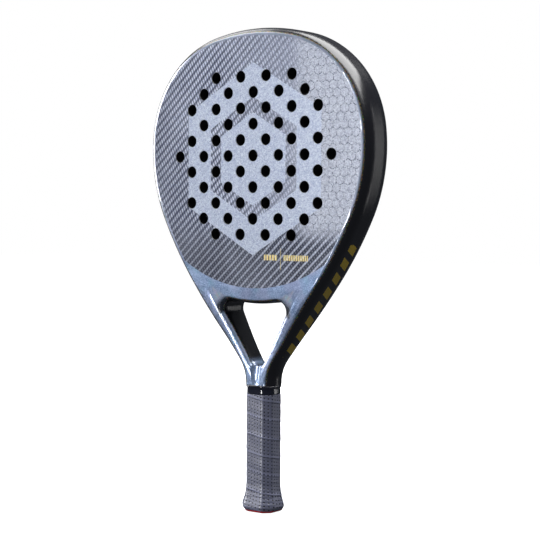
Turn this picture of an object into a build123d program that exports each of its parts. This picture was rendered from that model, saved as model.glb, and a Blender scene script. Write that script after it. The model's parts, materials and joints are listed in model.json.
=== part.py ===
"""Padel racket: hollow carbon frame, foam core, two drilled faces, throat bridge and wrapped handle.

Millimetres, +Z up. The origin is the bottom centre of the butt, the front face looks along -Y.
"""
from build123d import *
import os
from math import cos, radians, sin, sqrt, tan

# Overall sizes
total_length = 455.0
head_thickness = 38.0
neck_bottom = 120.5            # where the frame meets the collar
neck_side_step = 2.5           # the neck stands this far out from the pallets at the sides
neck_front_step = 1.0          # and this far at the front and back

# Half outline of the frame from the top centre down: tangent arcs as (radius, degrees)
outline_arcs = [(209.0, 13.5), (103.0, 69.7), (156.0, 32.3), (379.0, 10.9)]
neck_blend_radius = 34.0

# Frame tube and its edges
tube_width = 14.0
tube_wall = 2.4
rim_inset = 7.2                # how far the rounded rim reaches in from the side
rim_depth = 12.5               # how far it reaches back from the face
rim_flat = 0.5                 # least flat left between the two rims in the neck
web_width = 4.0                # solid web between the two tubes in the neck

# Throat opening, with its heights measured down from the top of the head
opening_top_drop = 257.7       # lowest point of its curved top edge
opening_top_radius = 160.0
opening_apex_drop = 324.4      # where its two straight sides would meet
opening_corner_radius = 8.0
opening_crotch_radius = 8.8
opening_edge_radius = 4.6

# Groove between the arms, front and back
groove_radius = 7.5
groove_depth_top = 6.5         # at groove_top
groove_depth_bottom = 0.8      # at neck_bottom
groove_rise = 19.4             # groove_top stands this far above the opening's apex

# Bridge, faces and core
foot_thickness = 4.6           # the bridge's feet line the arms' inner sides
foot_length = 12.3             # and reach this far below the opening's top
bridge_wall = 2.4
bridge_fit = 0.05
face_inset = 7.6               # edge of the face from the widest outline
face_drop = 243.0              # lowest point of the faces, down from the top of the head
taper_length = 72.0            # below that the frame thins towards the neck over this length
face_bottom_radius = 152.0
face_thickness = 0.7
ply_thickness = 0.5
ply_step = 2.2                 # the inner ply is this much smaller all round
core_bottom_gap = 5.0          # the core ends this far above the edge of the face
core_fit = 0.1

# Holes in the face
hole_diameter = 11.2
hole_pitch = 29.5
hole_row_pitch = 14.75
hole_centre_drop = 119.1       # middle row, down from the top of the head
hole_rows = [4, 5, 6, 5, 6, 7, 6, 5, 6, 5, 4]

# Handle
handle_half_width = 13.7       # octagon across the pallets
handle_half_depth = 12.0
handle_corner = 5.5
leg_bottom = 30.0
pallet_side_wall = 2.4
pallet_front_wall = 3.9
leg_wall = 2.0
leg_corner = 3.0
leg_fit = 0.1
plug_length = 12.0
pallet_bottom = 6.0
knot_room_radius = 7.5
collar_zone_step = 0.8         # the pallets are this much smaller under the collar
collar_height = 9.0
collar_gap = 0.15

# Butt cap, grip, tape and collar
cap_top = 24.0
cap_base = 5.0
cap_wall = 1.25
cap_fit = 0.05
cord_hole_radius = 4.0
cap_straight = 17.0            # the cap is straight from cap_top down to here, then flares
cap_flare = [(11.0, 1.0), (7.0, 2.6), (4.6, 3.5), (2.6, 3.6), (1.0, 2.8), (0.0, 0.6)]
grip_thickness = 1.8
grip_bottom = 1.7
grip_edge = 1.2                # the grip thins by this much where it ends under the butt
grip_lip = 0.4                 # the skived end of the grip, which runs up under the collar
skive_length = 1.5
grip_fit = 0.05
tape_thickness = 0.2
collar_outer = 1.4             # collar stands this far out from the pallets

# Staples
staple_height = 20.5
staple_span = 8.0
wire = 0.9
crown = 0.5
cap_staple_leg = 5.5
grip_staple_leg = 4.5
grip_staple_lift = 1.0         # its crown lies this far up in the grip

beyond = 1.0                   # cutting solids run this far past what they cut
level_limit = 0.5              # an edge that rises by less than this counts as level
on_outline = 0.2               # an edge within this of the opening's outline belongs to it

half_head = head_thickness / 2
half_neck = handle_half_depth + neck_front_step
neck_width = 2 * (handle_half_width + neck_side_step)
rim_depth = min(rim_depth, half_neck - rim_flat)
squash = rim_depth / rim_inset
arm_angle = sum(turn for _, turn in outline_arcs) - 90
leg_width = handle_half_width - pallet_side_wall - leg_fit - web_width / 2
leg_depth = 2 * (handle_half_depth - pallet_front_wall - leg_fit)
collar_bottom = neck_bottom - collar_height
pallet_step = collar_bottom - skive_length

face_bottom = total_length - face_drop
taper_bottom = face_bottom - taper_length
opening_top = total_length - opening_top_drop
opening_apex = total_length - opening_apex_drop
bridge_foot = opening_top - foot_length
groove_top = opening_apex + groove_rise
hole_centre_height = total_length - hole_centre_drop
cap_profile = [(cap_top, 0.0), (cap_straight, 0.0)] + cap_flare


def mirrored_face(edges):
    """Close a right half outline, given from the top centre down to the bottom centre."""
    left = [mirror(edge, about=Plane.YZ) for edge in edges]
    return make_face(edges + left)


def head_edges(inset):
    """Right half of the head's outline, moved in by inset, and the heading where the arm starts."""
    point = Vector(0, total_length - inset)
    heading = 0.0
    edges = []
    for radius, turn in outline_arcs:
        arc = JernArc(point, (cos(radians(heading)), sin(radians(heading))), radius - inset, -turn)
        edges.append(arc)
        point = arc @ 1
        heading -= turn
    return edges, point, Vector(cos(radians(heading)), sin(radians(heading)))


def head_face(inset, low):
    """The head's outline moved in by inset, its arms cut off level at the height low."""
    edges, point, way = head_edges(inset)
    foot = point + way * ((point.Y - low) / -way.Y)
    edges.append(Line(point, foot))
    edges.append(Line(foot, (0, low)))
    return mirrored_face(edges)


def frame_face(inset, low):
    """The whole frame's outline moved in by inset, down the neck to the height low."""
    edges, point, way = head_edges(inset)
    side = neck_width / 2 - inset
    blend = neck_blend_radius + inset
    corner = point + way * ((point.X - side) / -way.X)
    start = corner - way * (blend * tan(radians(arm_angle / 2)))
    neck_arc = JernArc(start, way, blend, arm_angle)
    edges.append(Line(point, start))
    edges.append(neck_arc)
    edges.append(Line(neck_arc @ 1, (side, low)))
    edges.append(Line((side, low), (0, low)))
    return mirrored_face(edges)


def disc_above(lowest, radius):
    """A large disc whose lowest point is at the height lowest."""
    return Pos(0, lowest + radius) * Circle(radius)


def opening_face(grow):
    """Throat opening with its three corners rounded, made larger by grow."""
    _, point, way = head_edges(0)
    arm_side = point.X + (opening_top - point.Y) * way.X / way.Y
    half_top = arm_side - (tube_width + foot_thickness) / cos(radians(arm_angle))
    spread = half_top / (opening_top - opening_apex)
    apex = opening_apex - grow * sqrt(1 + spread ** 2) / spread
    high = opening_top + 3 * opening_corner_radius
    half_high = (high - apex) * spread
    wedge = make_face(Polyline((0, apex), (half_high, high), (-half_high, high), close=True))
    wedge -= disc_above(opening_top + grow, opening_top_radius - grow)
    corners = wedge.vertices().sort_by(Axis.Y)
    rounded = fillet(corners[0], opening_crotch_radius + grow)
    corners = rounded.vertices().sort_by(Axis.Y)[2:4]
    return fillet(corners, opening_corner_radius + grow)


def slab(face, front, back):
    """Extrude a face drawn on X and Z between two values of Y."""
    return extrude(Plane.XZ.offset(-back) * face, back - front)


def taper_profile(inset, shrink):
    """Side view of the frame: thick head, S shaped taper, thin neck. Its depths are divided by shrink."""
    head = (half_head - inset) / shrink
    neck = (half_neck - inset) / shrink
    middle = ((head + neck) / 2, (face_bottom + taper_bottom) / 2)
    upper = TangentArc((head, face_bottom), middle, tangent=(0, -1))
    lower = TangentArc(middle, (neck, taper_bottom), tangent=upper % 1)
    edges = [
        Line((0, total_length + beyond), (head, total_length + beyond)),
        Line((head, total_length + beyond), (head, face_bottom)),
        upper,
        lower,
        Line((neck, taper_bottom), (neck, leg_bottom)),
        Line((neck, leg_bottom), (0, leg_bottom)),
    ]
    return extrude(Plane.YZ * mirrored_face(edges), total_length, both=True)


def slanted_edges(solid):
    """Edges that run along the outline: not the level ones, which run straight back or across."""
    return [edge for edge in solid.edges() if edge.bounding_box().size.Z > level_limit]


def racket_form(inset):
    """Outer form of the bare frame, head filled in, moved in by inset all over.

    It is made flattened in Y with round edges and then stretched, which makes the rim elliptical.
    """
    form = slab(frame_face(inset, neck_bottom), -half_head / squash, half_head / squash)
    form = form & taper_profile(inset, squash)
    form = fillet(slanted_edges(form), rim_inset - inset)
    hole = opening_face(inset)
    form -= slab(hole, -half_head, half_head)
    lips = [edge for edge in slanted_edges(form)
            if Vertex(edge.center().X, edge.center().Z, 0).distance_to(hole) < on_outline]
    form = fillet(lips, opening_edge_radius - inset / 2)
    return scale(form, by=(1, squash, 1))


def groove(grow):
    """Round groove down the neck between the arms, on the front."""
    away = half_neck + groove_radius
    low = Vector(0, groove_depth_bottom - away, neck_bottom)
    high = Vector(0, groove_depth_top - away, groove_top)
    run = (high - low).length
    plane = Plane(origin=low, x_dir=(1, 0, 0), z_dir=high - low)
    return extrude(plane * Circle(groove_radius + grow), run, both=True)


def face_outline(step):
    """Outline of a face sheet, made smaller by step all round."""
    head = head_face(face_inset + step, face_bottom)
    return head & disc_above(face_bottom + step, face_bottom_radius - step)


def core_outline(fit):
    """Outline of the foam core, or of the room for it, made smaller by fit."""
    lift = core_bottom_gap + fit
    lens = disc_above(face_bottom + lift, face_bottom_radius - lift)
    return head_face(tube_width + fit, face_bottom) & lens


def drilled(face):
    """Take the hole pattern out of a face."""
    middle_row = (len(hole_rows) - 1) / 2
    for row, count in enumerate(hole_rows):
        height = hole_centre_height + (middle_row - row) * hole_row_pitch
        for column in range(count):
            across = (column - (count - 1) / 2) * hole_pitch
            face -= Pos(across, height) * Circle(hole_diameter / 2)
    return face


def both_sides(solid):
    """A front solid and its copy on the back."""
    return solid + mirror(solid, about=Plane.XZ)


def face_rebates():
    """Room for both face sheets and the plies under them."""
    outer = slab(face_outline(0), -half_head - beyond, face_thickness - half_head)
    ply = slab(face_outline(ply_step), -half_head, face_thickness + ply_thickness - half_head)
    return both_sides(outer + ply)


def octagon(grow):
    """Octagonal section of the handle, made larger by grow."""
    side = handle_half_width + grow
    front = handle_half_depth + grow
    cut = handle_corner + grow * (2 - sqrt(2))
    quarter = [(side, front - cut), (side - cut, front)]
    mirrored = [(-x, y) for x, y in reversed(quarter)]
    upper = quarter + mirrored
    lower = [(-x, -y) for x, y in upper]
    return make_face(Polyline(*upper, *lower, close=True))


def prism(face, low, high):
    """Extrude a face drawn on X and Y between two heights."""
    return extrude(Pos(0, 0, low) * face, high - low)


def ring(outer, inner, low, high):
    """Octagonal ring between two growths of the handle's section."""
    return prism(octagon(outer), low, high) - prism(octagon(inner), low, high)


def octagon_loft(profile):
    """Octagonal column that follows a list of heights and growths."""
    return loft([Pos(0, 0, height) * octagon(grow) for height, grow in sorted(profile)], ruled=True)


def legs_section(grow):
    """Both legs and the gap between them as one rounded rectangle."""
    width = web_width + 2 * leg_width + 2 * grow
    return RectangleRounded(width, leg_depth + 2 * grow, leg_corner + grow)


def leg_bores(low, high):
    """The hollows of the two legs between two heights."""
    bore = RectangleRounded(leg_width - 2 * leg_wall, leg_depth - 2 * leg_wall, leg_corner - leg_wall)
    centre = (web_width + leg_width) / 2
    return prism(Pos(-centre, 0) * bore, low, high) + prism(Pos(centre, 0) * bore, low, high)


def staple(leg_length):
    """Wire staple with its crown's outer face on Z = 0 and its legs pointing down."""
    piece = Pos(0, 0, -crown / 2) * Box(staple_span + wire, wire, crown)
    for side in (-1, 1):
        piece += Pos(side * staple_span / 2, 0, -leg_length / 2) * Box(wire, wire, leg_length)
    return piece


# Frame tube, with its legs
form = racket_form(0)
grooves = both_sides(groove(0))
form -= grooves
inner_form = racket_form(tube_wall)
rebates = face_rebates()
deep = half_head + beyond
web = Pos(0, 0, neck_bottom) * Box(web_width, head_thickness, head_thickness)
neck_floor = Pos(0, 0, neck_bottom) * Box(neck_width, head_thickness, 2 * tube_wall)
cavity = inner_form - slab(head_face(tube_width - tube_wall, bridge_foot - tube_wall), -deep, deep)
cavity = cavity - web - neck_floor - both_sides(groove(tube_wall))
web_gap = prism(Rectangle(web_width, leg_depth), leg_bottom, neck_bottom)
legs = prism(legs_section(0), leg_bottom, neck_bottom + tube_wall) - web_gap
frame_tube = form - slab(head_face(tube_width, bridge_foot), -deep, deep) - rebates
frame_tube = frame_tube + legs - cavity - leg_bores(leg_bottom, neck_bottom + 2 * tube_wall)

# Throat bridge and its foam
bridge_room = head_face(tube_width + bridge_fit, bridge_foot + bridge_fit) - core_outline(0)
throat_bridge = (form & slab(bridge_room, -deep, deep)) - rebates
bridge_hollow = head_face(tube_width + bridge_wall, opening_top + opening_corner_radius)
bridge_hollow = bridge_hollow - core_outline(-bridge_wall)
bridge_core = inner_form & slab(bridge_hollow, -deep, deep)
throat_bridge -= bridge_core

# Foam core and the face sheets
sheet_depth = half_head - face_thickness
ply_depth = sheet_depth - ply_thickness
foam_core = slab(drilled(core_outline(core_fit)), -ply_depth, ply_depth)
front_face = slab(drilled(face_outline(0)), -half_head, -sheet_depth)
front_inner_ply = slab(drilled(face_outline(ply_step)), -sheet_depth, -ply_depth)
back_face = mirror(front_face, about=Plane.XZ)
back_inner_ply = mirror(front_inner_ply, about=Plane.XZ)

# Handle: spacer, plugs and the two pallets
handle_spacer = web_gap
leg_plugs = leg_bores(leg_bottom, leg_bottom + plug_length)
pallets = prism(octagon(0), cap_top, pallet_step)
pallets += prism(octagon(-cap_wall - cap_fit), pallet_bottom, cap_top)
pallets += prism(octagon(-collar_zone_step), pallet_step, neck_bottom)
pallets -= prism(legs_section(leg_fit), leg_bottom, neck_bottom)
pallets -= prism(Circle(knot_room_radius), pallet_bottom, leg_bottom)

# Butt cap
butt_cap = octagon_loft(cap_profile) - prism(octagon(-cap_wall), cap_base, cap_top)
butt_cap -= prism(Circle(cord_hole_radius), 0, cap_base)

# Base grip, finishing tape and collar
grip_top = collar_bottom - collar_gap
grip_inside = [(height, grow + grip_fit) for height, grow in cap_profile] + [(grip_top, grip_fit)]
grip_outside = [(height, grow + grip_thickness) for height, grow in cap_profile if height > grip_bottom]
edge_grow = cap_flare[-2][1] + grip_thickness - grip_edge
grip_outside += [(grip_bottom, edge_grow), (grip_top, grip_thickness)]
base_grip = octagon_loft(grip_outside) - octagon_loft(grip_inside)
lip_inside = grip_fit - collar_zone_step
lip_outside = lip_inside + grip_lip
lip_top = neck_bottom - collar_gap
base_grip += ring(grip_thickness, lip_inside, pallet_step + grip_fit, grip_top)
base_grip += ring(lip_outside, lip_inside, grip_top, lip_top)
tape_inside = lip_outside + grip_fit
tape_outside = tape_inside + tape_thickness
finishing_tape = ring(tape_outside, tape_inside, collar_bottom, lip_top)
grip_collar = ring(collar_outer, tape_outside + grip_fit, collar_bottom, lip_top)

# Staples, sunk into the pieces that they hold
cap_staples = None
for side in (-1, 1):
    across = Plane(origin=(side * handle_half_width, 0, staple_height), x_dir=(0, 1, 0), z_dir=(side, 0, 0))
    piece = across * staple(cap_staple_leg)
    cap_staples = piece if cap_staples is None else cap_staples + piece
staple_origin = (0, handle_half_depth + grip_staple_lift, staple_height)
behind = Plane(origin=staple_origin, x_dir=(1, 0, 0), z_dir=(0, 1, 0))
grip_staple = behind * staple(grip_staple_leg)
pallets = pallets - cap_staples - grip_staple
butt_cap = butt_cap - cap_staples - grip_staple
base_grip -= grip_staple

half_room = Pos(0, -half_head, total_length / 2) * Box(total_length, head_thickness, total_length)
front_pallet = pallets & half_room
back_pallet = pallets - half_room

nodes = {
    "frame_tube": frame_tube,
    "throat_bridge": throat_bridge,
    "bridge_core": bridge_core,
    "foam_core": foam_core,
    "front_face": front_face,
    "back_face": back_face,
    "front_inner_ply": front_inner_ply,
    "back_inner_ply": back_inner_ply,
    "handle_spacer": handle_spacer,
    "leg_plugs": leg_plugs,
    "front_pallet": front_pallet,
    "back_pallet": back_pallet,
    "butt_cap": butt_cap,
    "cap_staples": cap_staples,
    "grip_staple": grip_staple,
    "base_grip": base_grip,
    "finishing_tape": finishing_tape,
    "grip_collar": grip_collar,
}

os.makedirs("parts", exist_ok=True)
for name, solid in nodes.items():
    export_step(solid, f"parts/{name}.step")
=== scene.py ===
"""Padel racket: paint, faces, grip, collar and studio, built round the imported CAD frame."""

import json
from math import cos, floor, pi, radians, sin, sqrt

import bmesh
import bpy
from bpy.props import FloatProperty, FloatVectorProperty, PointerProperty
from mathutils import Matrix, Vector

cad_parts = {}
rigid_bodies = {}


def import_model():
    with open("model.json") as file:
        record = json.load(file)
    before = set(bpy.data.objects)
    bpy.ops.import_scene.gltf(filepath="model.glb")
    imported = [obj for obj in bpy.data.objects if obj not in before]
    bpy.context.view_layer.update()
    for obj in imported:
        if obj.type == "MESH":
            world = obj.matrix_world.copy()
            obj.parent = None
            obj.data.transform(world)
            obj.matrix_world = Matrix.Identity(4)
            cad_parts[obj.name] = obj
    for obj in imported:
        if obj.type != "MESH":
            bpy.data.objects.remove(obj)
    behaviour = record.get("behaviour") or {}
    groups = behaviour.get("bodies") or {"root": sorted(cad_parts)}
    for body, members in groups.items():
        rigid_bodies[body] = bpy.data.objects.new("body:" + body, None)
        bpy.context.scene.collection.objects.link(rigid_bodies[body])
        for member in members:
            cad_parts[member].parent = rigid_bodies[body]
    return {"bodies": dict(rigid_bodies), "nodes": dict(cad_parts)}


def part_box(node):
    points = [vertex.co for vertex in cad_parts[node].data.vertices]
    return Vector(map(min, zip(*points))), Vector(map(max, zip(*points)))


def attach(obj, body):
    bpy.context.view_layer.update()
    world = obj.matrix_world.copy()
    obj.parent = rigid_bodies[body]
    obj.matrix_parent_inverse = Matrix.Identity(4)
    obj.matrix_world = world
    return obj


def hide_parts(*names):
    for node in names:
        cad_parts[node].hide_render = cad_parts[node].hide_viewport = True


bl_info = {
    "name": "Padel racket",
    "version": (1, 0, 0),
    "blender": (4, 5, 0),
    "location": "View3D > Sidebar > Racket",
    "description": "Dresses the padel racket's frame with its paint, faces, grip and studio",
    "category": "Object",
}

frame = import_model()
NODES = frame["nodes"]
BODY = next(iter(frame["bodies"]))
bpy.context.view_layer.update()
MM = 0.001

FACE_LOW, FACE_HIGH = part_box("front_face")
COLLAR_LOW, COLLAR_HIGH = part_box("grip_collar")
FRAME_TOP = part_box("frame_tube")[1].z
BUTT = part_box("butt_cap")[0].z

# From here on, lengths and heights are in millimetres unless said otherwise, and heights start at
# the butt. In a pair called fade, half, top, foot or side, a look is absent at the first value and
# full at the second.

# Soft crest along each arm of the throat: a point on it, its slope, how far it reaches to each
# side, how round it is, and where it dies out
CREST_X, CREST_Z, CREST_LEAN = 34.0, 170.0, radians(31.8)
CREST_REACH, CREST_RADIUS = 4.2, 14.0
CREST_FADE = (214.0, 200.0)

# Painted shade in a dark scoop shape above each top corner of the opening: its corner, slope,
# length and half width
SCOOP_X, SCOOP_Z, SCOOP_LEAN = 36.5, 197.0, radians(38.0)
SCOOP_LENGTH, SCOOP_HALF = 17.0, 8.5

# Blue of the neck's groove, and of the arms' inner edges below the corners of the opening
GROOVE_HALF = (12.0, 9.0)
GROOVE_TOP = (147.0, 141.0)
INNER_EDGE_TOP = (208.0, 198.0)

# How squarely the surface faces the front or back where it turns from black to blue
BLUE_FACING = (0.86, 0.92)

# Where the deeper blue painted as shade on the throat's rounded edges dies out going up, and where
# the silver painted as a highlight round the head comes in
EDGE_SHADE_FADE = (240.0, 210.0)
HEAD_HIGHLIGHT_FADE = (215.0, 275.0)

# Lacquer colours, with a deeper blue painted as shade and a silver painted as a highlight
TEAL_CLOUD, LILAC_CLOUD = (0.16, 0.38, 0.50), (0.42, 0.40, 0.60)
EDGE_SHADE_BLUE, HEAD_HIGHLIGHT_SILVER = (0.09, 0.16, 0.27), (0.20, 0.225, 0.28)
BLACK_FLAKE = (0.020, 0.020, 0.030)
GLINT_TINT = (0.42, 0.25, 0.20)
AMBER_SHEEN, TEAL_SHEEN, LILAC_SHEEN = (0.62, 0.50, 0.40), (0.32, 0.60, 0.62), (0.52, 0.50, 0.72)

# Gold bars on the sides: middle and half length of their row, and the slope of each bar
BARS_MIDDLE, BARS_REACH, BARS_SLOPE = 201.0, 53.0, 0.45

# Weave and honeycomb on the faces
BOLD_YARN_FADE = (285.0, 240.0)
COMB_SIDE, COMB_FOOT = (38.0, 66.0), (252.0, 276.0)
COMB_DARK, COMB_LIGHT, COMB_LINE = (0.27, 0.30, 0.39), (0.60, 0.635, 0.73), (0.03, 0.035, 0.08)
SPARKLE_SIZE = 0.85

# Large hexagon: its height over the middle of the face, the edges of its ring and of its middle as
# parts of its reach, how soft they are, and its two silvers
BADGE_RAISE = 3.0
BADGE_OUTSIDE, BADGE_INSIDE, BADGE_MIDDLE, BADGE_SOFT = 1.0, 0.640, 0.487, 0.007
BADGE_DARK, BADGE_LIGHT = (0.37, 0.43, 0.56), (0.58, 0.64, 0.79)

# Small gold bars: height and half height of both rows, then middle, half length and pitch of each
GOLD_ROW, GOLD_ROW_HALF = 241.2, 2.6
SHORT_ROW, SHORT_ROW_HALF, SHORT_ROW_PITCH = 21.5, 7.8, 3.2
LONG_ROW, LONG_ROW_HALF, LONG_ROW_PITCH = 49.6, 14.0, 2.0

# Thin upright line between the rows: its place, half its width and half its height
GOLD_LINE_X, GOLD_LINE_Z, GOLD_LINE_HALF, GOLD_LINE_REACH = 32.7, 240.0, 0.25, 10.0

# Grip strip: metres round the handle, the part of a turn at which it starts, and its rows of holes
# for each hole pitch
WRAP = 0.092
TURN_START = 0.35
HOLE_ROWS = 1.04

# Inside and hidden finishes, with the glass cloth's threads for each millimetre
FACE_FOAM, FILLER_FOAM, PALLET_FOAM = (0.016, 0.016, 0.018), (0.55, 0.50, 0.36), (0.22, 0.22, 0.23)
GLASS_DARK, GLASS_LIGHT, GLASS_THREADS = (0.42, 0.43, 0.36), (0.70, 0.71, 0.62), 0.6
ZINC_DARK, ZINC_LIGHT = (0.42, 0.42, 0.43), (0.72, 0.72, 0.70)
TAPE_BLACK = (0.015, 0.015, 0.017)


def colour_property(name, description, default):
    """A linear RGB colour that a user can change."""
    return FloatVectorProperty(
        name=name, description=description, default=default,
        subtype="COLOR", size=3, min=0.0, max=1.0,
    )


def length_property(name, description, default):
    """A length in metres."""
    return FloatProperty(
        name=name, description=description, default=default, unit="LENGTH", min=0.0
    )


def angle_property(name, description, default):
    """An angle in radians, shown in degrees."""
    return FloatProperty(name=name, description=description, default=default, subtype="ANGLE")


# ---------------------------------------------------------------- shader building


class Graph:
    """Builds a node tree from short calls. A value may be a number, a colour or a node's output."""

    def __init__(self, name):
        self.material = bpy.data.materials.new(name)
        self.material.use_nodes = True
        self.tree = self.material.node_tree
        self.shader = self.tree.nodes["Principled BSDF"]
        self.place = None

    def node(self, kind, **settings):
        """New shader node with these settings."""
        made = self.tree.nodes.new("ShaderNode" + kind)
        for key, value in settings.items():
            setattr(made, key, value)
        return made

    def feed(self, socket, value):
        """Link an output to a socket, or set the socket to a number or colour."""
        if isinstance(value, bpy.types.NodeSocket):
            self.tree.links.new(value, socket)
        elif hasattr(value, "__len__") and len(value) == 3 and socket.type == "RGBA":
            socket.default_value = (*value, 1.0)
        else:
            socket.default_value = value

    def math(self, operation, a, b=0.0, c=0.0, clamp=False):
        """Output of one sum on up to three values."""
        made = self.node("Math", operation=operation, use_clamp=clamp)
        for socket, value in zip(made.inputs, (a, b, c)):
            self.feed(socket, value)
        return made.outputs[0]

    def add(self, a, b):
        return self.math("ADD", a, b)

    def times(self, a, b):
        return self.math("MULTIPLY", a, b)

    def minus(self, a, b):
        return self.math("SUBTRACT", a, b)

    def step(self, value, low, high):
        """0 at low, 1 at high, smooth between and level beyond. Low may be above high."""
        made = self.node("MapRange", interpolation_type="SMOOTHSTEP")
        numbers = isinstance(low, (int, float)) and isinstance(high, (int, float))
        turned = numbers and low > high
        ends = (high, low, 1.0, 0.0) if turned else (low, high, 0.0, 1.0)
        for socket, item in zip(made.inputs, (value, *ends)):
            self.feed(socket, item)
        return made.outputs[0]

    def band(self, value, centre, half, soft):
        """1 where value is within half of centre."""
        away = self.math("ABSOLUTE", self.minus(value, centre))
        return self.step(away, half + soft, half - soft)

    def mix(self, factor, a, b, blend="MIX"):
        """Mix two colours."""
        made = self.node("Mix", data_type="RGBA", blend_type=blend)
        self.feed(made.inputs[0], factor)
        self.feed(made.inputs[6], a)
        self.feed(made.inputs[7], b)
        return made.outputs[2]

    def blend(self, factor, a, b):
        """Mix two numbers."""
        made = self.node("Mix", data_type="FLOAT")
        for socket, value in zip(made.inputs[:4], (factor, None, a, b)):
            if value is not None:
                self.feed(socket, value)
        return made.outputs[0]

    def millimetres(self):
        """Position in the racket's own frame, in millimetres, as (X, Y, Z)."""
        coordinates = self.node("TexCoord")
        scaled = self.node("VectorMath", operation="SCALE")
        self.feed(scaled.inputs[0], coordinates.outputs["Object"])
        self.feed(scaled.inputs["Scale"], 1 / MM)
        self.place = scaled.outputs[0]
        return self.split(self.place)

    def split(self, vector):
        """The three parts of a vector or colour."""
        parts = self.node("SeparateXYZ")
        self.feed(parts.inputs[0], vector)
        return tuple(parts.outputs)

    def normal(self):
        """Surface direction as (X, Y, Z)."""
        return self.split(self.node("NewGeometry").outputs["Normal"])

    def noise(self, size, detail=2.0):
        """Cloudy value about 0.5 with lumps of this many millimetres."""
        made = self.node("TexNoise")
        self.feed(made.inputs["Vector"], self.place)
        self.feed(made.inputs["Scale"], 1.0 / size)
        self.feed(made.inputs["Detail"], detail)
        return made.outputs[0]

    def flakes(self, size):
        """One random colour for each cell of this many millimetres."""
        made = self.node("TexVoronoi")
        self.feed(made.inputs["Vector"], self.place)
        self.feed(made.inputs["Scale"], 1.0 / size)
        return made.outputs["Color"]

    def finish(self, **values):
        """Set the shader's sockets and give the material back."""
        for key, value in values.items():
            socket = key.replace("_", " ").title().replace("Ior", "IOR")
            self.feed(self.shader.inputs[socket], value)
        return self.material

    def bump(self, height, strength, distance=0.0002):
        """Surface relief. Distance is how many metres a height of 1 stands for."""
        made = self.node("Bump")
        self.feed(made.inputs["Strength"], strength)
        self.feed(made.inputs["Distance"], distance)
        self.feed(made.inputs["Height"], height)
        return made.outputs[0]


def wear(node, material):
    """Give a CAD node this one material."""
    mesh = NODES[node].data
    mesh.materials.clear()
    mesh.materials.append(material)


def triangle_wave(graph, value):
    """0 at whole numbers and 1 half way between."""
    part = graph.math("FRACT", value)
    return graph.minus(1.0, graph.math("ABSOLUTE", graph.math("MULTIPLY_ADD", part, 2.0, -1.0)))


def hexagon_reach(graph, across, up):
    """Distance from a hexagon's centre, measured so that it is constant along each side."""
    across = graph.math("ABSOLUTE", across)
    up = graph.math("ABSOLUTE", up)
    slanted = graph.add(graph.times(across, 0.5), graph.times(up, sqrt(3) / 2))
    return graph.math("MAXIMUM", across, slanted)


def honeycomb(graph, across, up, pitch):
    """How near a point is to the wall of its honeycomb cell: 0 in the middle and 1 on the wall."""
    tall = pitch * sqrt(3)
    reaches = []
    for shift in (0.0, 0.5):
        cells = []
        for value, size in ((across, pitch), (up, tall)):
            part = graph.math("FRACT", graph.math("MULTIPLY_ADD", value, 1 / size, shift))
            cells.append(graph.times(graph.minus(part, 0.5), size))
        reaches.append(hexagon_reach(graph, *cells))
    return graph.times(graph.math("MINIMUM", *reaches), 2 / pitch)


# ---------------------------------------------------------------- settings


class RacketPaint(bpy.types.PropertyGroup):
    """Lacquer on the frame."""

    blue: colour_property("Blue", "Metallic paint on the front and back", (0.055, 0.125, 0.28))
    silver: colour_property("Silver", "Light flakes in the blue", (0.38, 0.50, 0.74))
    black: colour_property("Black", "Lacquer on the sides and in the throat", (0.006, 0.006, 0.009))
    gold: colour_property("Gold", "Slanted bars on the sides", (0.95, 0.66, 0.03))
    flake: length_property("Flake", "Size of the metallic flakes", 0.0007)
    bar_pitch: length_property("Bar pitch", "Distance between the bars on the sides", 0.0135)
    bar_half: length_property("Bar half length", "Half the length of a bar across the side", 0.0062)


class RacketFace(bpy.types.PropertyGroup):
    """Print on the two faces."""

    light: colour_property("Light", "Silver of the weave and of the hexagon", (0.61, 0.665, 0.82))
    dark: colour_property("Dark", "Blue grey between the light yarns", (0.020, 0.028, 0.078))
    gold: colour_property("Gold", "Small printed bars", (0.82, 0.68, 0.30))
    yarn_pitch: length_property("Yarn pitch", "Distance from one yarn to the next", 0.0056)
    yarn_angle: angle_property("Yarn angle", "Slope of the yarns", radians(43))
    braid_pitch: length_property("Braid pitch", "Length of one stitch along a yarn", 0.0031)
    comb_pitch: length_property("Comb pitch", "Width of one honeycomb cell", 0.0082)
    badge_reach: length_property("Badge reach", "Large hexagon, from its middle to a side", 0.078)


class RacketGrip(bpy.types.PropertyGroup):
    """Wound grip and the collar above it."""

    turn_pitch: length_property("Turn pitch", "Height of one turn of the strip", 0.0175)
    turn_step: length_property("Turn step", "How far each turn stands over the one below", 0.0003)
    hole_pitch: length_property("Hole pitch", "Distance between the perforations", 0.0034)
    hole_size: length_property("Hole size", "Radius of a perforation", 0.00072)
    colour: colour_property("Colour", "Grip strip", (0.085, 0.09, 0.135))
    collar: colour_property("Collar", "Collar rubber", (0.010, 0.012, 0.026))
    cap: colour_property("Cap", "Butt cap", (0.80, 0.005, 0.02))


class RacketStudio(bpy.types.PropertyGroup):
    """Camera and lights."""

    azimuth: angle_property("Azimuth", "Camera's place round the racket", radians(36.78))
    pitch: angle_property("Pitch", "Camera's tilt, down is negative", radians(-2.28))
    roll: angle_property("Roll", "Camera's roll about its view", radians(0.32))
    place: FloatVectorProperty(
        name="Place", description="Camera's position", default=(0.8512, -1.1299, 0.2849),
        size=3, unit="LENGTH",
    )
    lens: FloatProperty(name="Lens", description="Focal length", default=99.9, unit="CAMERA")
    white: FloatProperty(
        name="White", description="Brightness of the backdrop", default=1.0, min=0.0
    )


# ---------------------------------------------------------------- materials


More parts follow.
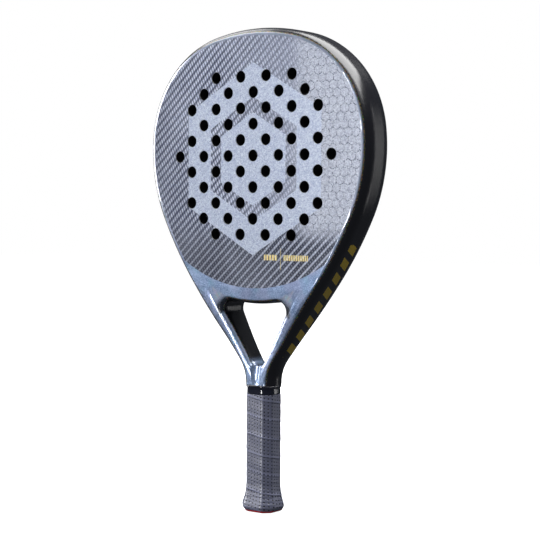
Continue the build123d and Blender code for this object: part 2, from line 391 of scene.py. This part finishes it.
def frame_paint(paint):
    """Metallic blue on the front and back, black on the sides, with glints where they meet."""
    graph = Graph("frame lacquer")
    x, y, z = graph.millimetres()
    sideways, facing, _ = graph.normal()
    facing = graph.math("ABSOLUTE", facing)

    # The blue reaches further over the arms' inner edges, and its own edge wavers
    outward = graph.times(sideways, graph.math("SIGN", x))
    inward = graph.times(graph.step(outward, -0.1, -0.3), graph.step(z, *INNER_EDGE_TOP))
    outward = graph.step(outward, 0.2, 0.4)
    drift = graph.times(graph.minus(graph.noise(9.0, 1.0), 0.5), 0.05)
    facing = graph.add(facing, graph.math("MULTIPLY_ADD", inward, 0.45, drift))
    wide = graph.math("ABSOLUTE", x)

    # Each arm of the throat rises to a soft crest
    crest_x, crest_z = graph.minus(wide, CREST_X), graph.minus(z, CREST_Z)
    off = graph.times(crest_x, cos(CREST_LEAN))
    off = graph.minus(off, graph.times(crest_z, sin(CREST_LEAN)))
    fall = graph.math("MINIMUM", graph.times(off, off), CREST_REACH * CREST_REACH)
    crest = graph.times(fall, -0.5 / CREST_RADIUS)
    crest = graph.times(crest, graph.step(z, *CREST_FADE))
    crest = graph.times(crest, graph.step(facing, 0.5, 0.8))

    # Painted shade: a dark scoop runs up and out from each top corner of the opening
    scoop_x, scoop_z = graph.minus(wide, SCOOP_X), graph.minus(z, SCOOP_Z)
    rise, run = cos(SCOOP_LEAN), sin(SCOOP_LEAN)
    up = graph.add(graph.times(scoop_x, run), graph.times(scoop_z, rise))
    over = graph.minus(graph.times(scoop_x, rise), graph.times(scoop_z, run))
    room = graph.math("MULTIPLY_ADD", up, -SCOOP_HALF / SCOOP_LENGTH, SCOOP_HALF)
    scoop = graph.step(graph.minus(graph.math("ABSOLUTE", over), room), 2.5, -2.5)
    foot = graph.times(graph.step(up, -9.0, -5.0), graph.step(facing, 0.3, 0.6))
    scoop = graph.times(scoop, foot)

    # The neck's groove is blue all over
    middle = graph.times(graph.step(wide, *GROOVE_HALF), graph.step(z, *GROOVE_TOP))
    middle = graph.times(middle, graph.step(facing, 0.1, 0.3))
    front = graph.math("MAXIMUM", graph.step(facing, *BLUE_FACING), middle)
    # Its dark core is painted shade, and the sheen lies round it
    scoop_shade = graph.times(scoop, graph.step(up, 9.0, 0.0))
    front = graph.times(front, graph.math("MULTIPLY_ADD", scoop_shade, -0.95, 1.0))

    # Flakes, and clouds of a lighter and a greener blue
    random = graph.flakes(paint.flake / MM)
    red, green, _ = graph.split(random)
    cloud = graph.noise(26.0, 2.0)
    shine = graph.math("MULTIPLY_ADD", red, 0.75, graph.times(graph.minus(cloud, 0.5), 1.3))
    shine = graph.math("ADD", shine, 0.24, clamp=True)
    blue = graph.mix(shine, tuple(paint.blue), tuple(paint.silver))
    teal = graph.step(graph.noise(17.0, 1.0), 0.52, 0.72)
    blue = graph.mix(graph.times(teal, 0.35), blue, TEAL_CLOUD)

    # Deeper blue on the rounded edges at the throat, painted shade where they turn away; silver
    # round the head, a painted highlight in place of the rim's reflection; and lilac in clouds
    deep = graph.times(graph.step(facing, 0.985, 0.92), 0.6)
    deep = graph.times(deep, graph.step(z, *EDGE_SHADE_FADE))
    blue = graph.mix(deep, blue, EDGE_SHADE_BLUE)
    blue = graph.mix(graph.times(graph.step(z, *HEAD_HIGHLIGHT_FADE), 0.8), blue, HEAD_HIGHLIGHT_SILVER)
    lilac = graph.step(graph.noise(21.0, 1.0), 0.56, 0.40)
    blue = graph.mix(graph.times(lilac, 0.25), blue, LILAC_CLOUD)

    # Rainbow glints in a thin band at the edge of the blue
    rim = graph.band(facing, 0.85, 0.06, 0.06)
    glint = graph.times(rim, graph.step(green, 0.25, 0.7))
    rainbow = graph.mix(1.0, random, GLINT_TINT, "MULTIPLY")

    # Amber, teal and lilac sheen round the scoop
    sheet = triangle_wave(graph, graph.times(over, 0.21))
    sheet = graph.mix(sheet, AMBER_SHEEN, TEAL_SHEEN)
    sheet = graph.mix(triangle_wave(graph, graph.times(up, 0.12)), sheet, LILAC_SHEEN)

    # Gold bars down both sides of the lower half, on black
    black = graph.mix(graph.times(red, 0.25), tuple(paint.black), BLACK_FLAKE)
    slant = graph.math("MULTIPLY_ADD", y, BARS_SLOPE, z)
    beat = triangle_wave(graph, graph.times(slant, MM / paint.bar_pitch))
    bars = graph.step(beat, 0.40, 0.46)
    long = graph.band(y, 0.0, paint.bar_half / MM, 0.3)
    bars = graph.times(graph.times(bars, long), graph.band(z, BARS_MIDDLE, BARS_REACH, 0.5))
    bars = graph.times(graph.times(bars, graph.step(facing, 0.75, 0.65)), outward)
    black = graph.mix(bars, black, tuple(paint.gold))

    colour = graph.mix(front, black, blue)
    colour = graph.mix(graph.times(graph.minus(scoop, scoop_shade), 0.55), colour, sheet)
    colour = graph.mix(graph.times(glint, 0.85), colour, rainbow)
    sheen = graph.times(front, graph.math("MULTIPLY_ADD", green, 0.35, 0.35))
    rough = graph.blend(front, 0.24, graph.math("MULTIPLY_ADD", red, 0.25, 0.28))
    relief = graph.math("MULTIPLY_ADD", graph.times(red, front), 0.02, crest)
    return graph.finish(
        base_color=colour, metallic=sheen, roughness=rough, ior=1.8,
        coat_weight=front, coat_roughness=0.05, coat_ior=1.9,
        normal=graph.bump(relief, 1.0, MM), coat_normal=graph.bump(crest, 1.0, MM),
    )


def face_print(face):
    """Silver-blue print: braided yarns, a honeycomb, a large hexagon and small gold bars."""
    graph = Graph("face print")
    x, y, z = graph.millimetres()
    light, dark = tuple(face.light), tuple(face.dark)

    # Yarns, each a chain of slanted stitches
    turn = face.yarn_angle
    along = graph.add(graph.times(x, cos(turn)), graph.times(z, sin(turn)))
    across = graph.minus(graph.times(z, cos(turn)), graph.times(x, sin(turn)))
    wander = graph.times(graph.minus(graph.noise(30.0, 1.0), 0.5), 1.2)
    count = graph.times(graph.add(across, wander), MM / face.yarn_pitch)
    place = triangle_wave(graph, count)
    row = graph.math("FLOOR", count)
    lean = graph.math("FRACT", count)
    stitch = graph.math("MULTIPLY_ADD", along, MM / face.braid_pitch, graph.times(row, 0.37))
    braid = triangle_wave(graph, graph.math("MULTIPLY_ADD", lean, -0.7, stitch))

    # Towards the throat they are bolder and plainer
    low = graph.step(z, *BOLD_YARN_FADE)
    thin = graph.blend(low, 0.42, 0.68)
    yarn = graph.step(place, graph.minus(thin, 0.22), graph.add(thin, 0.22))
    plain = graph.math("MULTIPLY_ADD", graph.step(x, -20.0, 60.0), 0.25, 0.35)
    stitched = graph.math("MULTIPLY_ADD", braid, 0.95, 0.05)
    tone = graph.times(yarn, graph.blend(graph.times(low, 0.7), stitched, plain))

    # Cross threads show between them, in clouds, and all of it fades at the top on the +X side
    cross = graph.times(graph.step(braid, 0.5, 0.9), graph.step(place, 0.45, 0.1))
    tone = graph.math("MULTIPLY_ADD", cross, 0.22, tone)
    cloud = graph.noise(60.0, 2.0)
    tone = graph.math("MULTIPLY_ADD", graph.minus(cloud, 0.5), 0.4, tone)
    fade = graph.times(graph.step(x, -60.0, 50.0), graph.step(z, 250.0, 300.0))
    deep = tuple(channel * 0.45 for channel in dark)
    tone = graph.blend(graph.times(fade, 0.5), tone, 0.5)
    ground = graph.mix(low, dark, deep)
    weave = graph.mix(graph.math("ADD", tone, 0.05, clamp=True), ground, light)

    # Painted shade: the weave darkens low down on the -X side
    shaded = graph.step(graph.math("MULTIPLY_ADD", z, 0.25, x), 45.0, -45.0)
    weave = graph.mix(graph.times(shaded, 0.3), weave, deep)

    # Honeycomb on the +X side, with its lines worn in places
    wall = honeycomb(graph, x, z, face.comb_pitch / MM)
    dots = graph.step(graph.noise(0.9, 1.0), 0.42, 0.58)
    worn = graph.step(graph.noise(5.0, 1.0), 0.35, 0.6)
    dots = graph.times(dots, graph.math("MULTIPLY_ADD", worn, 0.5, 0.5))
    lines = graph.times(graph.step(wall, 0.82, 0.95), dots)
    silver = graph.mix(graph.noise(1.1, 3.0), COMB_DARK, COMB_LIGHT)
    comb = graph.mix(lines, silver, COMB_LINE)
    side = graph.times(graph.step(graph.add(x, wander), *COMB_SIDE), graph.step(z, *COMB_FOOT))
    ground = graph.mix(side, weave, comb)

    # Large hexagon: a ring and a middle
    centre_z = (FACE_HIGH.z + FACE_LOW.z) / 2 / MM + BADGE_RAISE
    reach = graph.times(hexagon_reach(graph, x, graph.minus(z, centre_z)), MM / face.badge_reach)
    ring = graph.step(reach, BADGE_OUTSIDE, BADGE_OUTSIDE - BADGE_SOFT)
    ring = graph.times(ring, graph.step(reach, BADGE_INSIDE, BADGE_INSIDE + BADGE_SOFT))
    badge = graph.add(ring, graph.step(reach, BADGE_MIDDLE, BADGE_MIDDLE - BADGE_SOFT))
    matt = graph.mix(graph.noise(0.8, 1.0), BADGE_DARK, BADGE_LIGHT)
    ground = graph.mix(graph.times(badge, 0.92), ground, matt)

    # Small gold bars and the thin line between them
    height = graph.band(z, GOLD_ROW, GOLD_ROW_HALF, 0.2)
    beat = triangle_wave(graph, graph.times(x, 1 / SHORT_ROW_PITCH))
    short = graph.times(graph.band(x, SHORT_ROW, SHORT_ROW_HALF, 0.2), graph.step(beat, 0.25, 0.4))
    beat = triangle_wave(graph, graph.times(x, 1 / LONG_ROW_PITCH))
    long = graph.times(graph.band(x, LONG_ROW, LONG_ROW_HALF, 0.2), graph.step(beat, 0.3, 0.5))
    print_gold = graph.times(height, graph.add(short, long))
    line = graph.band(z, GOLD_LINE_Z, GOLD_LINE_REACH, 0.2)
    line = graph.times(graph.band(x, GOLD_LINE_X, GOLD_LINE_HALF, 0.15), line)
    print_gold = graph.math("MAXIMUM", print_gold, graph.times(line, 0.7))
    ground = graph.mix(print_gold, ground, tuple(face.gold))

    # Fine sparkle over it all
    red, green, _ = graph.split(graph.flakes(SPARKLE_SIZE))
    sparkle = graph.mix(red, (0.0, 0.0, 0.0), (1.0, 1.0, 1.0))
    ground = graph.mix(0.32, ground, sparkle, "OVERLAY")
    rough = graph.math("MULTIPLY_ADD", green, 0.2, 0.32)
    return graph.finish(
        base_color=ground, metallic=0.25, roughness=rough, coat_weight=0.5, coat_roughness=0.08,
        normal=graph.bump(graph.add(tone, graph.times(wall, 0.4)), 0.1),
    )


def foam(name, colour, cell):
    """Closed-cell foam with cells of this many millimetres."""
    graph = Graph(name)
    graph.millimetres()
    red, _, _ = graph.split(graph.flakes(cell))
    shade = tuple(channel * 0.6 for channel in colour)
    cloud = graph.times(graph.noise(4.0), 0.5)
    tone = graph.mix(graph.add(graph.times(red, 0.5), cloud), shade, colour)
    return graph.finish(base_color=tone, roughness=0.85, normal=graph.bump(red, 0.35))


def moulded(name, colour, roughness, grain, coat=0.0):
    """Moulded plastic or rubber with a grain of this many millimetres."""
    graph = Graph(name)
    graph.millimetres()
    cloud = graph.noise(11.0, 3.0)
    shade = tuple(channel * 0.7 for channel in colour)
    tone = graph.mix(cloud, shade, colour)
    rough = graph.math("MULTIPLY_ADD", graph.noise(1.6, 3.0), 0.25, roughness - 0.12)
    return graph.finish(
        base_color=tone, roughness=rough, coat_weight=coat, coat_roughness=0.1,
        normal=graph.bump(graph.noise(grain, 2.0), 0.15),
    )


def glass_ply():
    """Glass-fibre cloth in resin."""
    graph = Graph("glass ply")
    x, _, z = graph.millimetres()
    warp = triangle_wave(graph, graph.times(x, GLASS_THREADS))
    weft = triangle_wave(graph, graph.times(z, GLASS_THREADS))
    check = graph.times(warp, weft)
    tone = graph.mix(check, GLASS_DARK, GLASS_LIGHT)
    return graph.finish(base_color=tone, roughness=0.45, normal=graph.bump(check, 0.3))


def steel_wire():
    """Drawn and galvanised wire."""
    graph = Graph("staple wire")
    graph.millimetres()
    tone = graph.mix(graph.noise(0.7, 3.0), ZINC_DARK, ZINC_LIGHT)
    rough = graph.math("MULTIPLY_ADD", graph.noise(0.4, 2.0), 0.3, 0.2)
    return graph.finish(base_color=tone, metallic=1.0, roughness=rough)


def grip_strip(grip):
    """Soft synthetic strip: dark in its perforations and at the seam between two turns."""
    graph = Graph("grip strip")
    graph.millimetres()
    around, up, _ = graph.split(graph.node("UVMap", uv_map="Wrap").outputs["UV"])

    # Each turn climbs by one pitch, and its lower edge is painted lighter as a highlight where it
    # stands out
    turns = graph.add(graph.times(around, 1 / WRAP), graph.times(up, 1 / grip.turn_pitch))
    part = graph.math("FRACT", graph.add(turns, TURN_START))
    edge = graph.times(graph.step(part, 0.22, 0.05), graph.step(part, 0.0, 0.02))
    seam = graph.add(graph.step(part, 0.97, 1.0), graph.step(part, 0.015, 0.0))

    # Perforations in rows along the strip
    climb = graph.math("MULTIPLY_ADD", around, grip.turn_pitch / WRAP, up)
    column = graph.minus(graph.math("FRACT", graph.times(around, 1 / grip.hole_pitch)), 0.5)
    row = graph.minus(graph.math("FRACT", graph.times(climb, HOLE_ROWS / grip.hole_pitch)), 0.5)
    away = graph.math("SQRT", graph.add(graph.times(column, column), graph.times(row, row)))
    size = grip.hole_size / grip.hole_pitch
    hole = graph.times(graph.step(away, size * 1.25, size * 0.7), graph.minus(1.0, seam))
    rim = graph.times(graph.band(away, size * 1.6, size * 0.3, size * 0.4), graph.minus(1.0, seam))

    # Worn clouds, a paler rim round each hole and a lighter lower edge on each turn, both painted
    # highlights, and darkness in the holes and seams
    cloud = graph.noise(14.0, 3.0)
    grain = graph.noise(0.55, 3.0)
    colour = tuple(grip.colour)
    # The lighter colour serves both the worn clouds and the painted highlights
    worn = tuple(min(1.0, channel * 3.2) for channel in colour)
    dark = tuple(channel * 0.1 for channel in colour)
    tone = graph.mix(graph.add(graph.times(cloud, 0.3), graph.times(grain, 0.25)), colour, worn)
    painted_edge_highlight = graph.times(edge, graph.math("MULTIPLY_ADD", cloud, 2.2, -0.3, clamp=True))
    tone = graph.mix(painted_edge_highlight, tone, worn)
    tone = graph.mix(graph.times(rim, 0.25), tone, worn)
    tone = graph.mix(graph.math("MAXIMUM", hole, graph.times(seam, 0.6)), tone, dark)
    height = graph.math("MULTIPLY_ADD", hole, -2.0, graph.times(grain, 0.5))
    rough = graph.math("MULTIPLY_ADD", grain, 0.2, 0.3)
    return graph.finish(
        base_color=tone, roughness=rough, ior=1.7,
        coat_weight=graph.minus(1.0, hole), coat_roughness=0.35,
        normal=graph.bump(height, 0.5, 0.0003), coat_normal=graph.bump(height, 0.5, 0.0003),
    )


def studio_floor(white):
    """Pale paper that glows as white as the backdrop."""
    graph = Graph("studio paper")
    graph.millimetres()
    tone = graph.mix(graph.noise(40.0, 2.0), (0.92, 0.92, 0.92), (0.95, 0.95, 0.95))
    return graph.finish(
        base_color=tone, roughness=0.9, emission_color=(1.0, 1.0, 1.0), emission_strength=white
    )


# ---------------------------------------------------------------- handle


# Octagon of the wound handle: half its width, half its depth, how much each corner cuts off, and
# how sharp the corners of the grip and of the collar are
HANDLE_SIDE = 15.5
HANDLE_FRONT = 13.8
HANDLE_CORNER = 6.55
GRIP_SHARPNESS, COLLAR_SHARPNESS = 26.0, 16.0

# How far the grip flares out over the butt, as (height, flare)
GRIP_FOOT = 1.75
FLARE = [
    (GRIP_FOOT, 1.5), (2.4, 2.5), (3.6, 3.25), (5.4, 3.6), (7.8, 3.4),
    (11.0, 2.5), (15.0, 1.4), (20.0, 0.5), (27.0, 0.0),
]

# Grip's unevenness, how far it sits inside the octagon, and where the winding starts to show
GRIP_WOBBLE, GRIP_SINK = 0.12, 0.35
WINDING_FADE = [(2.0, 0.0), (6.0, 1.0)]

# Fineness of the two meshes: columns round the handle, and rows up the grip
GRIP_COLUMNS, GRIP_ROWS = 256, 300
COLLAR_COLUMNS = 192

# Outline of the collar from the bottom up, as (height, step out): a flat band, then a rolled bead
COLLAR_TALL = 8.85
COLLAR_OUTLINE = [
    (0.0, -1.6), (0.0, -0.3), (0.25, -0.05), (0.7, 0.0),
    (1.3, 0.0), (2.6, 0.0), (4.4, -0.05), (5.8, -0.1),
    (6.4, 0.2), (6.9, 0.75), (7.5, 1.0), (8.1, 0.95), (8.6, 0.6),
    (COLLAR_TALL, 0.1), (COLLAR_TALL, -0.6), (8.7, -1.4),
]

# How far the bead sways up and down as it goes round, and the part of the outline that sways
BEAD_SWAY = 0.35
SWAY_FADE = [(5.0, 0.0), (8.0, 1.0)]


def between(pairs, value):
    """Smooth value from a rising list of (place, value) pairs."""
    if value <= pairs[0][0]:
        return pairs[0][1]
    for (low, first), (high, second) in zip(pairs, pairs[1:]):
        if value < high:
            part = (value - low) / (high - low)
            return first + (second - first) * part * part * (3 - 2 * part)
    return pairs[-1][1]


def octagon_point(angle, grow, sharpness):
    """Point on the handle's octagon. Angle 0 is the front, -Y, and a quarter turn is +X."""
    ahead = Vector((sin(angle), -cos(angle)))
    side = HANDLE_SIDE + grow
    front = HANDLE_FRONT + grow
    cut = HANDLE_CORNER + grow * (2 - sqrt(2))
    slant = (side + front - cut) / sqrt(2)
    total = 0.0
    for turn, distance in zip(range(8), (front, slant, side, slant) * 2):
        facing = Vector((sin(turn * pi / 4), -cos(turn * pi / 4)))
        total += max(0.0, ahead.dot(facing) / distance) ** sharpness
    return ahead * total ** (-1 / sharpness)


def turned_mesh(name, rings):
    """Mesh of closed rings, each a list of (x, y, z) in millimetres, with a UV map in metres."""
    shape = bmesh.new()
    uv = shape.loops.layers.uv.new("Wrap")
    rows = [[shape.verts.new((x * MM, y * MM, z * MM)) for x, y, z in ring] for ring in rings]
    count = len(rings[0])
    for low, high in zip(range(len(rows)), range(1, len(rows))):
        for first in range(count):
            second = (first + 1) % count
            corners = ((low, first), (low, second), (high, second), (high, first))
            face = shape.faces.new([rows[row][column] for row, column in corners])
            face.smooth = True
            for loop, (row, column) in zip(face.loops, corners):
                far = count if column == 0 and first == count - 1 else column
                loop[uv].uv = (far / count * WRAP, rings[row][0][2] * MM)
    mesh = bpy.data.meshes.new(name)
    shape.to_mesh(mesh)
    shape.free()
    return mesh


def placed(name, mesh, material, node):
    """Show a mesh in place of a CAD node."""
    piece = bpy.data.objects.new(name, mesh)
    bpy.context.scene.collection.objects.link(piece)
    mesh.materials.append(material)
    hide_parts(node)
    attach(piece, BODY)
    return piece


def strip_lift(phase, step):
    """How far a wound strip stands out at this part of its turn, in millimetres."""
    part = phase - floor(phase)

    # A sharp lower lip that thins towards the next turn, and a slight belly
    edge = min(1.0, part / 0.03) * (1 - part) ** 3
    return step * (edge + 0.25 * sin(pi * part))


def column_angle(column, count):
    """Angle of one column of a ring that starts and ends at the back."""
    return 2 * pi * (column / count - 0.5)


def grip_ring(grow, z):
    """Plain ring of the grip, where it turns in under itself."""
    angles = [column_angle(column, GRIP_COLUMNS) for column in range(GRIP_COLUMNS)]
    return [(*octagon_point(angle, grow, GRIP_SHARPNESS), z) for angle in angles]


def grip_mesh(grip):
    """Strip wound over the handle, each turn lapping the one below."""
    pitch = grip.turn_pitch / MM
    step = grip.turn_step / MM
    top = COLLAR_LOW.z / MM - 0.15
    rings = [grip_ring(-0.2, GRIP_FOOT + 0.3)]
    for row in range(GRIP_ROWS + 1):
        z = GRIP_FOOT + (top - GRIP_FOOT) * row / GRIP_ROWS
        fade = between(WINDING_FADE, z)
        ring = []
        for column in range(GRIP_COLUMNS):
            angle = column_angle(column, GRIP_COLUMNS)
            lift = strip_lift(z / pitch + column / GRIP_COLUMNS + TURN_START, step)
            wobble = GRIP_WOBBLE * sin(z * 0.37 + 2.0 * angle) * sin(z * 0.11 - angle)
            grow = between(FLARE, z) + (lift + wobble) * fade - GRIP_SINK
            ring.append((*octagon_point(angle, grow, GRIP_SHARPNESS), z))
        rings.append(ring)
    rings += [grip_ring(-0.9, top), grip_ring(-1.6, top + 0.1)]
    return turned_mesh("grip_wrap", rings)


def collar_mesh():
    """Rubber collar: a rolled bead at the top over a plain band."""
    low, high = COLLAR_LOW.z / MM, COLLAR_HIGH.z / MM
    out = COLLAR_HIGH.x / MM - HANDLE_SIDE
    rings = []
    for height, grow in COLLAR_OUTLINE:
        level = low + height * (high - low) / COLLAR_TALL
        sway = BEAD_SWAY * between(SWAY_FADE, height)
        ring = []
        for column in range(COLLAR_COLUMNS):
            angle = column_angle(column, COLLAR_COLUMNS)
            z = level + sway * sin(4 * angle + 0.7)
            ring.append((*octagon_point(angle, out + grow, COLLAR_SHARPNESS), z))
        rings.append(ring)
    return turned_mesh("collar", rings)


# ---------------------------------------------------------------- studio


# Area lights: azimuth and elevation in degrees, distance, width and height in metres, and watts
SOFTBOXES = {
    "strip_front": (-17.0, 6.0, 1.6, 0.20, 1.0, 13.0),
    "top_left": (-85.0, 50.0, 1.7, 1.9, 0.7, 14.0),
    "overhead": (125.0, 73.0, 1.6, 1.8, 1.6, 50.0),
    "key": (-74.0, 12.0, 2.0, 0.8, 1.1, 27.0),
    "right_fill": (72.0, 45.0, 1.8, 0.8, 0.6, 1.5),
    "behind_right": (141.0, 2.0, 1.8, 0.12, 1.5, 1.2),
}
ROOM_COLOUR, ROOM_LIGHT = (0.80, 0.86, 1.0, 1.0), 0.07

# Floor: half its width and the gap under the butt, in metres
FLOOR_HALF, FLOOR_GAP = 6.0, 0.0003


def softbox(name, azimuth, elevation, distance, width, height, power):
    """Area light aimed at the racket's middle. Azimuth 0 is in front and a quarter turn is +X."""
    centre = Vector((0.0, 0.0, (FRAME_TOP + BUTT) / 2))
    turn, rise = radians(azimuth), radians(elevation)
    away = Vector((sin(turn) * cos(rise), -cos(turn) * cos(rise), sin(rise)))
    data = bpy.data.lights.new(name, "AREA")
    data.shape = "RECTANGLE"
    data.size, data.size_y = width, height
    data.energy = power
    light = bpy.data.objects.new(name, data)
    light.location = centre + away * distance
    light.rotation_euler = away.to_track_quat("Z", "Y").to_euler()
    light.visible_camera = False
    bpy.context.scene.collection.objects.link(light)


def backdrop(white):
    """White to the camera, and a dim grey room to everything else."""
    world = bpy.data.worlds.new("Studio")
    bpy.context.scene.world = world
    world.use_nodes = True
    tree = world.node_tree
    tree.nodes.clear()
    path = tree.nodes.new("ShaderNodeLightPath")
    seen = tree.nodes.new("ShaderNodeBackground")
    room = tree.nodes.new("ShaderNodeBackground")
    pick = tree.nodes.new("ShaderNodeMixShader")
    out = tree.nodes.new("ShaderNodeOutputWorld")
    seen.inputs["Strength"].default_value = white
    seen.inputs["Color"].default_value = (1.0, 1.0, 1.0, 1.0)
    room.inputs["Color"].default_value = ROOM_COLOUR
    room.inputs["Strength"].default_value = ROOM_LIGHT
    tree.links.new(path.outputs["Is Camera Ray"], pick.inputs[0])
    tree.links.new(room.outputs[0], pick.inputs[1])
    tree.links.new(seen.outputs[0], pick.inputs[2])
    tree.links.new(pick.outputs[0], out.inputs[0])


# ---------------------------------------------------------------- operators


class RACKET_OT_frame(bpy.types.Operator):
    """Paint the tube frame and the throat bridge"""

    bl_idname = "racket.frame"
    bl_label = "Paint the frame"

    def execute(self, context):
        lacquer = frame_paint(context.scene.racket_paint)
        wear("frame_tube", lacquer)
        wear("throat_bridge", lacquer)
        return {"FINISHED"}


class RACKET_OT_faces(bpy.types.Operator):
    """Print the faces and finish the plies and foam behind them"""

    bl_idname = "racket.faces"
    bl_label = "Finish the faces"

    def execute(self, context):
        printed = face_print(context.scene.racket_face)
        wear("front_face", printed)
        wear("back_face", printed)
        ply = glass_ply()
        wear("front_inner_ply", ply)
        wear("back_inner_ply", ply)
        wear("foam_core", foam("face foam", FACE_FOAM, 0.9))
        wear("bridge_core", foam("filler foam", FILLER_FOAM, 1.6))
        return {"FINISHED"}


class RACKET_OT_handle(bpy.types.Operator):
    """Finish the pallets, plugs, butt cap, staples and tape"""

    bl_idname = "racket.handle"
    bl_label = "Finish the handle"

    def execute(self, context):
        grip = context.scene.racket_grip
        filler = foam("pallet foam", PALLET_FOAM, 1.2)
        for node in ("front_pallet", "back_pallet", "handle_spacer", "leg_plugs"):
            wear(node, filler)
        cap = moulded("butt cap", tuple(grip.cap), roughness=0.35, grain=0.6, coat=0.3)
        wear("butt_cap", cap)
        wire = steel_wire()
        wear("cap_staples", wire)
        wear("grip_staple", wire)
        wear("finishing_tape", moulded("finishing tape", TAPE_BLACK, roughness=0.4, grain=0.9))
        return {"FINISHED"}


class RACKET_OT_grip(bpy.types.Operator):
    """Wind the grip strip"""

    bl_idname = "racket.grip"
    bl_label = "Wind the grip"

    def execute(self, context):
        grip = context.scene.racket_grip
        piece = placed("grip_wrap", grip_mesh(grip), grip_strip(grip), "base_grip")
        return {"FINISHED"}


class RACKET_OT_collar(bpy.types.Operator):
    """Roll the collar over the end of the grip"""

    bl_idname = "racket.collar"
    bl_label = "Fit the collar"

    def execute(self, context):
        grip = context.scene.racket_grip
        rubber = moulded(
            "collar rubber", tuple(grip.collar), roughness=0.16, grain=1.5, coat=1.0
        )
        placed("collar", collar_mesh(), rubber, "grip_collar")
        return {"FINISHED"}


class RACKET_OT_studio(bpy.types.Operator):
    """Lay the floor and set the lights, backdrop and camera"""

    bl_idname = "racket.studio"
    bl_label = "Build the studio"

    def execute(self, context):
        studio = context.scene.racket_studio
        shape = bmesh.new()
        bmesh.ops.create_grid(shape, x_segments=2, y_segments=2, size=FLOOR_HALF)
        mesh = bpy.data.meshes.new("floor")
        shape.to_mesh(mesh)
        shape.free()
        mesh.materials.append(studio_floor(studio.white))
        floor_piece = bpy.data.objects.new("floor", mesh)
        floor_piece.location.z = BUTT - FLOOR_GAP
        floor_piece.visible_glossy = False
        floor_piece.visible_diffuse = False
        context.scene.collection.objects.link(floor_piece)
        backdrop(studio.white)

        for name, setting in SOFTBOXES.items():
            softbox(name, *setting)

        data = bpy.data.cameras.new("camera")
        data.lens = studio.lens
        data.sensor_width = 36.0
        data.clip_start, data.clip_end = 0.01, 100.0
        camera = bpy.data.objects.new("camera", data)
        turn = Matrix.Rotation(studio.azimuth, 4, "Z")
        turn = turn @ Matrix.Rotation(radians(90) + studio.pitch, 4, "X")
        turn = turn @ Matrix.Rotation(studio.roll, 4, "Z")
        camera.matrix_world = Matrix.Translation(Vector(studio.place)) @ turn
        context.scene.collection.objects.link(camera)
        context.scene.camera = camera
        context.scene.view_settings.view_transform = "Standard"
        return {"FINISHED"}


class RACKET_PT_panel(bpy.types.Panel):
    """The racket's settings and steps"""

    bl_idname = "RACKET_PT_panel"
    bl_label = "Racket"
    bl_space_type = "VIEW_3D"
    bl_region_type = "UI"
    bl_category = "Racket"

    def draw(self, context):
        for group, steps in PANEL:
            box = self.layout.box()
            settings = getattr(context.scene, group)
            for name in settings.__annotations__:
                box.prop(settings, name)
            for step in steps:
                box.operator(step)


PANEL = (
    ("racket_paint", ("racket.frame",)),
    ("racket_face", ("racket.faces",)),
    ("racket_grip", ("racket.handle", "racket.grip", "racket.collar")),
    ("racket_studio", ("racket.studio",)),
)
GROUPS = {
    "racket_paint": RacketPaint,
    "racket_face": RacketFace,
    "racket_grip": RacketGrip,
    "racket_studio": RacketStudio,
}
CLASSES = (
    RacketPaint,
    RacketFace,
    RacketGrip,
    RacketStudio,
    RACKET_OT_frame,
    RACKET_OT_faces,
    RACKET_OT_handle,
    RACKET_OT_grip,
    RACKET_OT_collar,
    RACKET_OT_studio,
    RACKET_PT_panel,
)


def register():
    """Add the settings and operators to Blender."""
    for kind in CLASSES:
        bpy.utils.register_class(kind)
    for name, group in GROUPS.items():
        setattr(bpy.types.Scene, name, PointerProperty(type=group))


def unregister():
    """Take them out again."""
    for name in GROUPS:
        delattr(bpy.types.Scene, name)
    for kind in reversed(CLASSES):
        bpy.utils.unregister_class(kind)


def main():
    """Build the racket step by step."""
    register()
    bpy.ops.racket.frame()
    bpy.ops.racket.faces()
    bpy.ops.racket.handle()
    bpy.ops.racket.grip()
    bpy.ops.racket.collar()
    bpy.ops.racket.studio()


if __name__ == "__main__":
    main()
